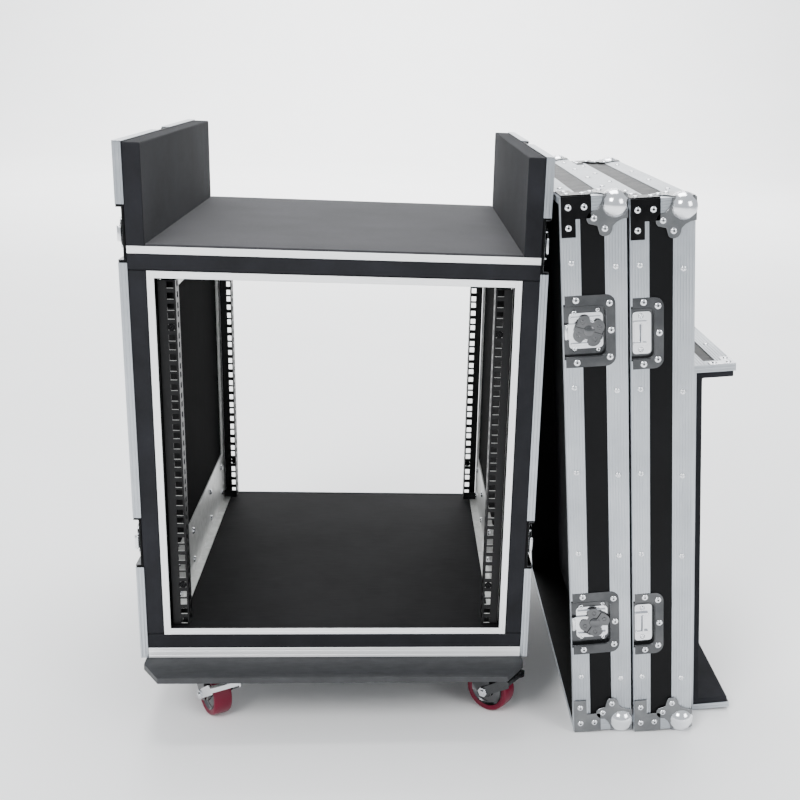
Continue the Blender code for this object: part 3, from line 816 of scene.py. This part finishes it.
def brace(matrix, low):
    """An L brace on an open-side corner, in the corner's own axes. The low ones have no plate underneath."""
    outline = [(0, 0), (42, 0), (42, 31), (20, 31), (20, 56), (0, 56)]
    plates = [placed(prism(outline, 1, -1.9, 0.0), matrix)]
    rivets = [placed(rivet((a, -1.8, b), -2, 4.8), matrix) for a, b in ((10, 15), (32, 15), (10, 43))]
    if not low:
        plates.append(placed(prism(outline, 2, -1.9, 0.0), matrix))
        rivets += [placed(rivet((a, b, -1.8), -3, 4.8), matrix) for a, b in ((10, 15), (32, 15), (10, 43))]
    return plates, rivets


# ---------------------------------------------------------------- covers and lid


def lean_frame(node, reach):
    low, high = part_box(node)
    origin = Vector((high.x - reach / 1000 * cos(LEAN), low.y, low.z))
    return Matrix.Translation(origin) @ Matrix.Rotation(-LEAN, 4, "Y") @ MM


def build_cover(name, male):
    depth, width, height = COVER
    matrix = lean_frame(f"{name}_shell", depth)
    gaps = [(z - LATCH_GAP, z + LATCH_GAP) for z in COVER_LEVELS]
    shut, back, frame_wide, lip = 26.5, 60, 30, 10
    seat = THICK_TRIM - 0.1
    back_row, front_row = 75, 13
    front_band, back_band = (0, shut), (back, depth + THICK_TRIM)
    wide = (-THICK_TRIM, width + THICK_TRIM)
    shapes, rivets = [], []
    for face, out, normal in ((0.0, -1, -2), (width, 1, 2)):
        for stretch in without(0, height, gaps):
            shapes.append(strip(2, 0, 1, stretch, front_band, face, out, THICK_TRIM, 6))
        shapes.append(strip(2, 0, 1, (0, height), back_band, face, out, THICK_TRIM, 7))
        shapes.append(strip(0, 2, 1, (shut, back), (0, 24), face, out, TRIM, 5))
        shapes.append(strip(0, 2, 1, (shut, back), (height - 24, height), face, out, TRIM, 5))
        across = sorted((face + out * THICK_TRIM, face - out * 24))
        shapes.append(strip(0, 1, 2, (shut, back), across, height, 1, TRIM, 5))
        for z in (90, 300, 430, 560, 740):
            rivets.append(rivet((back_row, face + out * seat, z), normal, HEAD))
            rivets.append(rivet((front_row, face + out * seat, z + 8), normal, HEAD))
    for face, out, normal in ((0.0, -1, -3), (height, 1, 3)):
        bands = [(back_band, 7, back_row)]
        if out > 0:
            bands.append((front_band, 6, front_row))
        for band, grooves, x in bands:
            shapes.append(strip(1, 0, 2, wide, band, face, out, THICK_TRIM, grooves))
            rivets += [rivet((x, y, face + out * seat), normal, HEAD) for y in (100, 230, 367, 497)]
    skin = depth
    for across in ((0, frame_wide), (width - frame_wide, width)):
        along = (frame_wide, height - frame_wide)
        shapes.append(strip(2, 1, 0, along, across, skin, 1, THICK_TRIM, 7))
        for z in (110, 265, 420, 575, 730):
            rivets.append(rivet((skin + seat, sum(across) / 2, z), 1, HEAD))
    for across in ((0, frame_wide), (height - frame_wide, height)):
        shapes.append(strip(1, 2, 0, (0, width), across, skin, 1, THICK_TRIM, 7))
        for y in (110, 235, 362, 487):
            rivets.append(rivet((skin + seat, y, sum(across) / 2), 1, HEAD))
    # The lip round the open side
    for across in ((0, lip), (width - lip, width)):
        shapes.append(strip(2, 1, 0, (1, height), across, 0.0, -1, TRIM, 1))
    for across in ((1, lip), (height - lip, height)):
        shapes.append(strip(1, 2, 0, (lip, width - lip), across, 0.0, -1, TRIM, 1))
    piece(f"{name}_edging", shapes, "aluminium", matrix=matrix)
    piece(f"{name}_rivets", rivets, "chrome", matrix=matrix)

    balls, legs, braces, low_braces, corner_rivets = [], [], [], [], []
    for y, y_dir in ((0, 1), (width, -1)):
        for z, z_dir in ((0, 1), (height, -1)):
            y_out = y - y_dir * THICK_TRIM
            z_out = height + THICK_TRIM if z else 0.6
            corner = axes((depth + THICK_TRIM, y_out, z_out), (-1, 0, 0), (0, y_dir, 0), (0, 0, z_dir))
            for kept, made in zip((balls, legs, corner_rivets), ball_corner(corner)):
                kept += made
            made = brace(axes((0, y_out, z_out), (1, 0, 0), (0, y_dir, 0), (0, 0, z_dir)), z == 0)
            (braces if z else low_braces).extend(made[0])
            corner_rivets += made[1]
    piece(f"{name}_balls", balls, "chrome", matrix=matrix)
    # Balls, legs and braces are one plated steel; the legs and low braces are darker and the top braces
    # darker still: painted dark reflection.
    piece(f"{name}_corners", legs, "corner", matrix=matrix, bevel=0.0006)
    piece(f"{name}_braces", braces, "dark_plate", matrix=matrix, bevel=0.0004)
    piece(f"{name}_low_braces", low_braces, "corner", matrix=matrix, bevel=0.0004)
    piece(f"{name}_corner_rivets", corner_rivets, "chrome", matrix=matrix)

    for y, sign, side_name in ((0.0, -1, "near"), (width, 1, "far")):
        for z, level in zip(COVER_LEVELS, ("low", "high")):
            spot = matrix @ axes((0, y, z), (1, 0, 0), (0, 0, 1), (0, sign, 0))
            build_dish(f"{name}_{side_name}_{level}", spot, male)
            if male:
                centre = matrix @ axes((LATCH_IN, y, z), (1, 0, 0), (0, 0, 1), (0, sign, 0))
                build_wing(f"latch_cover_{side_name}_{level}", centre, -20 if level == "high" else 55)
    edge, thick = LINING_IN, 25
    foam_block(
        f"{name}_pad", (depth - edge - thick, edge, edge), (depth - edge, width - edge, height - edge),
        f"{name}_lining", matrix, seed=11 if male else 13,
    )


def build_lid():
    height, depth, length = LID
    matrix = lean_frame("lid_shell", height)
    middle = depth / 2
    gap = [(middle - LATCH_GAP, middle + LATCH_GAP)]
    seat = THICK_TRIM - 0.1
    shapes, rivets = [], []
    band, short_band, lip = 26, 24, 10
    shapes.append(strip(1, 0, 2, (0, depth), (0, band), length, 1, THICK_TRIM, 5))
    for stretch in without(0, depth, gap):
        shapes.append(strip(1, 0, 2, stretch, (height - band, height), length, 1, THICK_TRIM, 5))
        rivets.append(rivet((height - band / 2, sum(stretch) / 2, length + seat), 3, HEAD))
    for along in ((0, short_band), (depth - short_band, depth)):
        shapes.append(strip(0, 1, 2, (band, height - band), along, length, 1, TRIM, 5))
        rivets.append(rivet((height / 2, sum(along) / 2, length + TRIM), 3, HEAD))
    for face, out in ((0.0, -1), (depth, 1)):
        shapes.append(strip(0, 2, 1, (0, height), (0, lip), face, out, TRIM, 1))
        shapes.append(strip(0, 2, 1, (0, height), (length - lip, length + THICK_TRIM), face, out, TRIM, 2))
        shapes.append(strip(2, 0, 1, (lip, length - lip), (0, lip), face, out, TRIM, 1))
    for across in ((0, band), (depth - band, depth)):
        shapes.append(strip(2, 1, 0, (1, length), across, 0.0, -1, THICK_TRIM, 5))
        for z in (60, 180, 294, 408, 528):
            rivets.append(rivet((-seat, sum(across) / 2, z), -1, HEAD))
    piece("lid_edging", shapes, "aluminium", matrix=matrix)
    piece("lid_rivets", rivets, "chrome", matrix=matrix)
    top = matrix @ axes((height, middle, length), (-1, 0, 0), (0, 1, 0), (0, 0, 1))
    build_dish("lid_keeper_top", top, False)
    corners, corner_rivets = [], []
    for y, y_dir in ((0, 1), (depth, -1)):
        y_out, z_out = y - y_dir * THICK_TRIM, length + THICK_TRIM
        spot = axes((height, y_out, z_out), (-1, 0, 0), (0, y_dir, 0), (0, 0, -1))
        plate = prism([(0, 0), (40, 0), (40, 16), (18, 18), (16, 40), (0, 40)], 2, -1.2, 0.0)
        corners.append(placed(plate, spot))
        for a, b in ((9, 9), (31, 8), (8, 31)):
            corner_rivets.append(placed(rivet((a, b, -1.1), -3, 4.2), spot))
    piece("lid_corners", corners, "chrome", matrix=matrix, bevel=0.0004)
    piece("lid_corner_rivets", corner_rivets, "chrome", matrix=matrix)
    build_lid_lining(matrix)


def build_lid_lining(matrix):
    height, depth, length = LID
    low, high, rim = LINING_IN, LINING_IN + 10, 67.0
    outline = [
        (low, low), (rim, low), (rim, high), (high, high), (high, length - high), (rim, length - high),
        (rim, length - low), (low, length - low),
    ]
    obj = piece(
        "lid_pad", [prism(outline, 1, GAP, depth - GAP)], "foam", matrix=matrix,
        stands_for=["lid_lining"],
    )
    add_bevel(obj, 0.002, 3)


# ---------------------------------------------------------------- casters


def hexagon(radius):
    return [(radius * cos(pi * i / 3), radius * sin(pi * i / 3)) for i in range(6)]


def build_casters():
    turns = {joint["name"]: joint for joint in frame["record"]["behaviour"]["joints"]}
    for corner in ("front_left", "front_right", "rear_left", "rear_right"):
        joint = turns["spin_" + corner]
        hub = Vector(joint["pos_m"])
        along = Vector(joint["axis"]).normalized()
        up = Vector((0, 0, 1))
        wheel = axes(hub, along, up.cross(along), up) @ MM
        tread = [
            (28, -12.0), (33, -14.6), (35.6, -14.2), (36.9, -12.6), (37.5, -10.0), (37.5, 10.0),
            (36.9, 12.6), (35.6, 14.2), (33, 14.6), (28, 12.0),
        ]
        tread_shape = lathe([(r, h) for r, h in tread], 48, 0)
        piece(
            f"tread_{corner}", [tread_shape], "tread", f"wheel_{corner}", wheel,
            stands_for=[f"wheel_{corner}"],
        )
        rim = [
            (6.4, -15.4), (12.5, -15.4), (13.5, -12.0), (24, -9.5), (27, -11.0), (28.4, -12.8),
            (28.4, 12.8), (27, 11.0), (24, 9.5), (13.5, 12.0), (12.5, 15.4), (6.4, 15.4),
        ]
        piece(f"rim_{corner}", [lathe(rim, 40, 0)], "wing", f"wheel_{corner}", wheel)
        cap = [(6.5, 15.3), (11.5, 15.3), (11.0, 15.9), (6.5, 15.9)]
        bearing = [lathe([(r, s * h) for r, h in cap], 24, 0) for s in (-1, 1)]
        piece(f"bearing_{corner}", bearing, "galvanised", f"wheel_{corner}", wheel)
        nuts = []
        for s in (-1, 1):
            nuts.append(prism(hexagon(8.6), 0, s * 21.2, s * 26.0))
            nuts.append(lathe([(0, s * 25.8), (4.4, s * 25.8), (4.0, s * 28.2), (0, s * 28.4)], 14, 0))
        piece(f"axle_nuts_{corner}", nuts, "chrome", f"fork_{corner}", wheel, bevel=0.0004)
        swivel = Vector(turns["swivel_" + corner]["pos_m"])
        plate_low, plate_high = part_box("caster_plate_" + corner)
        race = axes((swivel.x, swivel.y, plate_low.z), along, up.cross(along), up) @ MM
        ring = [(24.0, -7.6), (27.6, -7.0), (28.2, -4.2), (27.6, -1.4), (24.0, -0.8)]
        piece(f"race_{corner}", [lathe(ring, 36, 2)], "galvanised", f"fork_{corner}", race)
        bolts = []
        middle = (plate_low + plate_high) / 2
        flat = Matrix.Translation(Vector((middle.x, middle.y, plate_low.z))) @ MM
        for x in (-37, 37):
            for y in (-24, 24):
                bolts.append(prism([(x + a, y + b) for a, b in hexagon(6.5)], 2, -5.0, -0.1))
                bolts.append(lathe([(0, -7.5), (3, -7.3), (3.2, -4.9), (0, -4.9)], 12, 2, (x, y, 0)))
        piece(f"plate_bolts_{corner}", bolts, "chrome", "case", flat, bevel=0.0004)


# ---------------------------------------------------------------- stage, light and camera


def build_stage():
    """A pale floor that sweeps up into a backdrop far behind, so that no horizon shows."""
    rows = [(-12.0, 0.0), (9.0, 0.0)] + [
        (9.0 + 5.0 * sin(pi / 2 * i / 12), 5.0 - 5.0 * cos(pi / 2 * i / 12)) for i in range(1, 13)
    ] + [(14.0, 14.0)]
    points = [(x, y, z) for y, z in rows for x in (-16.0, 16.0)]
    faces = [(2 * i, 2 * i + 1, 2 * i + 3, 2 * i + 2) for i in range(len(rows) - 1)]
    mesh = bpy.data.meshes.new("floor")
    mesh.from_pydata(points, [], faces)
    mesh.materials.append(MATERIALS["floor"])
    mesh.shade_smooth()
    floor = bpy.data.objects.new("floor", mesh)
    bpy.context.scene.collection.objects.link(floor)
    world = bpy.data.worlds.new("studio")
    world.use_nodes = True
    world.node_tree.nodes["Background"].inputs["Color"].default_value = (0.92, 0.96, 1, 1)
    world.node_tree.nodes["Background"].inputs["Strength"].default_value = 0.9
    bpy.context.scene.world = world


def add_light(name, place, target, size, power):
    data = bpy.data.lights.new(name, "AREA")
    data.size = size
    data.energy = power
    obj = bpy.data.objects.new(name, data)
    obj.location = place
    obj.rotation_euler = (Vector(target) - Vector(place)).to_track_quat("-Z", "Y").to_euler()
    bpy.context.scene.collection.objects.link(obj)


def build_lights():
    add_light("key", (-2.2, -3.4, 3.4), (0.0, 0.0, 0.4), 1.6, 175)
    add_light("fill", (3.2, -3.0, 2.4), (0.2, 0.0, 0.4), 2.0, 85)
    add_light("top", (0.0, 0.8, 4.2), (0.0, 0.2, 0.4), 2.4, 200)
    add_light("back", (0.0, 7.0, 6.5), (0.0, 10.5, 1.5), 6.0, 2000)


def build_camera():
    """A camera in front of the case and above it, turned, tilted and rolled, with its lens shifted."""
    place = (80.9, -1592.4, 838.7)
    yaw, pitch, roll = radians(5.73), radians(17.42), radians(2.64)
    ahead = Vector((sin(yaw) * cos(pitch), cos(yaw) * cos(pitch), -sin(pitch)))
    level = Vector((cos(yaw), -sin(yaw), 0))
    above = level.cross(ahead)
    right = level * cos(roll) + above * sin(roll)
    up = -level * sin(roll) + above * cos(roll)
    data = bpy.data.cameras.new("camera")
    data.sensor_width = 36.0
    data.lens = 50.7447
    data.shift_x, data.shift_y = -0.1261125, 0.0252625
    data.clip_end = 100
    camera = bpy.data.objects.new("camera", data)
    matrix = Matrix((right, up, -ahead)).transposed().to_4x4()
    matrix.translation = CASE @ Vector(place)
    camera.matrix_world = matrix
    bpy.context.scene.collection.objects.link(camera)
    bpy.context.scene.camera = camera


build_camera()
finish_cad_nodes()
build_foam()
build_edging()
build_rails()
build_case_latches()
build_cover("cover_a", True)
build_cover("cover_b", False)
build_lid()
build_casters()
build_stage()
build_lights()
